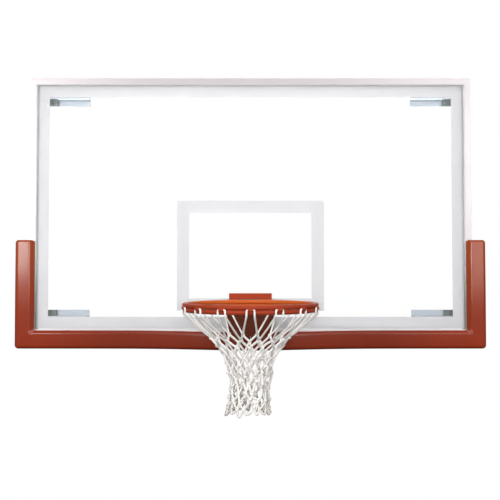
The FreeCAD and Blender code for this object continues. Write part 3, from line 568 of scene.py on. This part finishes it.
# Net. White braided cord: each loop runs through a tie and over the lower rod to a knot
# between the ties, then the knots step down in diamonds to a soft scalloped hem.
ring_y = -0.441
ties = 16
tie_turn = 2 * math.pi / ties
tie_out = 0.2487
rod_circle = 0.2366
plate_half = 0.150
crease_z = -0.39715
under_z = -0.4198
net_top = -0.381
net_length = 0.402
throat = 0.073
hem_lean = 0.009
hem_lift = 0.013
hem_waver = 0.003
cord = 0.0034
tie_half, hook_half = 0.0132, 0.0075
tie_drop, rod_drop = 0.0200, 0.003
lead_length = 0.014
loop_sag = 0.0025
strand_slack = 0.0046
upward = np.array([0, 0, 1.0])
chance = np.random.default_rng(7)


def round_ring(radius, angle, up):
    """Points at an angle round the ring's upright axis; zero is the front of the ring."""
    radius, angle, up = np.broadcast_arrays(radius, angle, up)
    return np.stack([radius * np.sin(angle), ring_y - radius * np.cos(angle), up], axis=-1)


# Each row of knots has its share of the net's length and its radius in throats. Rows sway more
# the lower they are, and the last one, the hem, is lifted a little toward the front.
share = np.array([0.31, 0.383, 0.465, 0.545, 0.62, 0.695, 0.77, 0.845, 0.918, 0.989])
spread = np.array([1.93, 1.60, 1.28, 1.10, 0.98, 0.88, 0.87, 0.93, 1.01, 1.10])
last = len(share) - 1
tie_angles = np.arange(ties) * tie_turn
knots = []
for number in range(last + 1):
    angles = tie_angles + (tie_turn / 2 if number % 2 == 0 else 0)
    row = round_ring(throat * spread[number], angles, net_top - net_length * share[number])
    sway = 0.0022 + 0.0008 * min(number, 4)
    row = row + chance.normal(0, 1, row.shape) * np.array([sway, sway, sway * 0.9]) * (number < last)
    row[:, 0] -= hem_lean * share[number] ** 2
    if number == last:
        row[:, 2] += hem_lift * np.maximum(np.cos(angles), 0) + chance.normal(0, hem_waver, ties)
    knots.append(row)

# A loop passes through its tie in the crease between the rods. By the plate, and at the two
# ends of the ring seen from the front, it hangs from the underside of the lower rod.
loops = []
for index, angle in enumerate(tie_angles):
    along = np.array([math.cos(angle), math.sin(angle), 0])
    by_plate = math.cos(angle) < 0 and abs(math.sin(angle)) * tie_out < plate_half
    below = by_plate or abs(math.sin(angle)) > 0.95
    middle = round_ring(rod_circle, angle, under_z) if below else round_ring(tie_out, angle, crease_z)
    route = []
    for sign, knot in ((-1, knots[0][index - 1]), (1, knots[0][index])):
        corner = middle + along * sign * tie_half
        low = corner - upward * (rod_drop if below else tie_drop)
        lead = low + unit(knot - low) * lead_length
        half_way = (lead + knot) / 2 - upward * loop_sag
        side_route = [knot, half_way, lead, low, corner, middle + along * sign * hook_half]
        route += side_route if sign < 0 else side_route[::-1]
    loops.append(soft_line(route, 72))
loops = np.array(loops)

strands = []
for number in range(last - 1):
    step = 1 if number % 2 == 0 else -1
    for index in range(ties):
        for other in (index, (index + step) % ties):
            start, end = knots[number][index], knots[number + 1][other]
            belly = (start + end) / 2 + chance.normal(0, strand_slack, 3)
            strands.append(soft_line([start, (start + belly) / 2, (belly + end) / 2, end], 12))
strands = np.array(strands)

# The hem is one cord per scallop, from knot to knot round a soft U
hem = []
for index in range(ties):
    start, end = knots[last - 1][index - 1], knots[last - 1][index]
    low = knots[last][index]
    slope = (end - start) * 0.16
    going_down = (start + low) / 2 - slope * 0.4
    going_up = (end + low) / 2 + slope * 0.4
    hem.append(soft_line([start, going_down, low - slope, low + slope, going_up, end], 26))
hem = np.array(hem)

# Each knot is two crossed turns of cord drawn tight
knot_round = 0.0046
knot_cord = 0.0034
swing = np.linspace(0, 2 * math.pi, 12, endpoint=False)[:, None]
knot_lines = []
for place in np.concatenate(knots[:last]):
    out = unit(place - np.array([0, ring_y, place[2]]))
    flat = np.cross(out, upward)
    tilt = chance.normal(0, 0.35)
    for lean in (0.6 + tilt, -0.7 + tilt):
        first = flat * math.cos(lean) + upward * math.sin(lean)
        knot_lines.append(place + knot_round * (np.cos(swing) * first + np.sin(swing) * out))
knot_lines = np.array(knot_lines)
knot_radius = np.full(knot_lines.shape[:2], knot_cord)
knot_group = tubes(knot_lines, knot_radius, 7, np.array([0.31, 0.22, 0.93]), closed=True)


def cord_group(lines, thick):
    """Tubes with seams away from the net's axis; their thickness has a sine and a random part."""
    outward = lines - np.array([0, ring_y, 0])
    outward[..., 2] = 0.02
    along = np.sin(np.arange(lines.shape[1]) * 1.7)[None]
    wobble = 1 + 0.05 * along + chance.normal(0, 0.025, lines.shape[:2])
    return tubes(lines, thick * wobble, 8, unit(outward))


groups = [cord_group(loops, cord), cord_group(strands, cord * 1.22), cord_group(hem, cord * 1.18)]
net = tube_piece("net_cords", groups + [knot_group])

# Two sets of carriers wind round the cord in opposite ways, with the grooves between them painted darker
# as painted shade. The lower net is painted darker toward the hem, as painted shade.
crossings = 1300.0
carriers = 12.566
braid = Finish("white_braid", Roughness=0.85, IOR=1.45)
layout = braid.node("ShaderNodeUVMap", {"uv_map": "UVMap"}, {})
run = braid.node("ShaderNodeSeparateXYZ", {}, {"Vector": layout}, 0) * crossings
wound = braid.node("ShaderNodeSeparateXYZ", {}, {"Vector": layout}, 1) * carriers
plait = braid.maths("MAXIMUM", braid.maths("SINE", run + wound), braid.maths("SINE", run - wound))
soil = braid.noise(16.0, 5.0)
cream = braid.mix(soil, (0.93, 0.91, 0.89, 1), (0.85, 0.825, 0.79, 1))
# Painted shade: the net darkens toward the hem.
low_shade = braid.span(braid.axis(2), -0.66, -0.77)
cream = braid.mix(low_shade * 0.45, cream, (0.62, 0.58, 0.53, 1))
# Painted shade: the cord is darker in the grooves of the plait.
braid.feed("Base Color", braid.mix(0.14 - plait * 0.14, cream, (0.55, 0.50, 0.44, 1)))
braid.bump(plait, 0.35, 0.0006)
braid.paint(net)
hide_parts("net")
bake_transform(net)


# Studio. The board hangs at its playing height over a pale floor, in soft light from above
# and in front, with an even white surround. The camera stands where the photograph was taken.
floor_sides = 96
floor_radius = 4.5
floor_up = -3.43
angle = np.linspace(0, 2 * math.pi, floor_sides, endpoint=False)
rim = [floor_radius * np.cos(angle), -0.2 + floor_radius * np.sin(angle), np.full(floor_sides, floor_up)]
mesh = bpy.data.meshes.new("pale_floor")
mesh.from_pydata(np.stack(rim, axis=-1).tolist(), [], [list(range(floor_sides))])
floor = bpy.data.objects.new("pale_floor", mesh)
bpy.context.scene.collection.objects.link(floor)
floor_finish = Finish("pale_floor", Roughness=0.7, Emission_Color=(1, 1, 1, 1), Emission_Strength=0.55)
cloud = floor_finish.noise(2.0, 3.0)
floor_finish.feed("Base Color", floor_finish.mix(cloud, (0.86, 0.86, 0.86, 1), (0.82, 0.82, 0.82, 1)))
floor_finish.paint(floor)
floor.visible_diffuse = False
floor.visible_glossy = False

# The camera sees plain white; the part is lit by a sky that darkens downward
white = (1, 1, 1, 1)
world = bpy.data.worlds.new("white_surround")
bpy.context.scene.world = world
world.use_nodes = True
sky = Nodes(world.node_tree)
toward = sky.node("ShaderNodeTexCoord", {}, {}, "Generated")
height = sky.span(sky.node("ShaderNodeSeparateXYZ", {}, {"Vector": toward}, "Z"), -1, 1)
shade = sky.ramp(height, (0.08, (0.03, 0.029, 0.028, 1)), (0.70, white))
lit_by = sky.node("ShaderNodeBackground", {}, {"Color": shade, "Strength": 0.26})
seen = sky.node("ShaderNodeBackground", {}, {"Color": white})
by_camera = sky.node("ShaderNodeLightPath", {}, {}, "Is Camera Ray")
surface = sky.node("ShaderNodeMixShader", {}, {0: by_camera, 1: lit_by, 2: seen})
sky.tree.nodes.remove(sky.tree.nodes["Background"])
sky.tree.links.new(surface.socket, sky.tree.nodes["World Output"].inputs["Surface"])


def soft_box(name, place, aim, width, height, power, spread=180):
    light = bpy.data.lights.new(name, "AREA")
    light.shape = "RECTANGLE"
    light.size = width
    light.size_y = height
    light.energy = power
    light.spread = math.radians(spread)
    lamp = bpy.data.objects.new(name, light)
    bpy.context.scene.collection.objects.link(lamp)
    lamp.location = place
    toward = np.array(aim) - np.array(place)
    across = math.atan2(-toward[0], toward[1])
    down = math.atan2(math.hypot(toward[0], toward[1]), -toward[2])
    lamp.rotation_euler = (down, 0, across)


soft_box("left_box", (-2.1, -3.2, 0.47), (0, 0, 0.25), 1.0, 1.5, 60)
soft_box("right_box", (2.1, -3.2, 0.65), (0, 0, 0.25), 2.0, 2.2, 50)
soft_box("camera_box", (0, -3.5, -0.1), (0, 0, -0.45), 0.9, 0.6, 36)
soft_box("rear_box", (0, 3.6, 1.6), (0, 0, 0), 3.0, 2.0, 60)
soft_box("top_box", (0, -2.2, 2.9), (0, -0.3, -0.2), 2.4, 1.6, 42)
soft_box("under_box", (0, 0.9, -1.4), (0, 0.1, 0.5), 1.8, 0.4, 14, spread=36)

camera_data = bpy.data.cameras.new("photo_camera")
camera_data.lens = 50.93
camera_data.sensor_width = 36
camera = bpy.data.objects.new("photo_camera", camera_data)
bpy.context.scene.collection.objects.link(camera)
camera.location = (-0.0017, -2.984, -0.2754)
camera.rotation_euler = (math.radians(91.85), 0, 0)
bpy.context.scene.camera = camera
bpy.context.scene.view_settings.view_transform = "Standard"
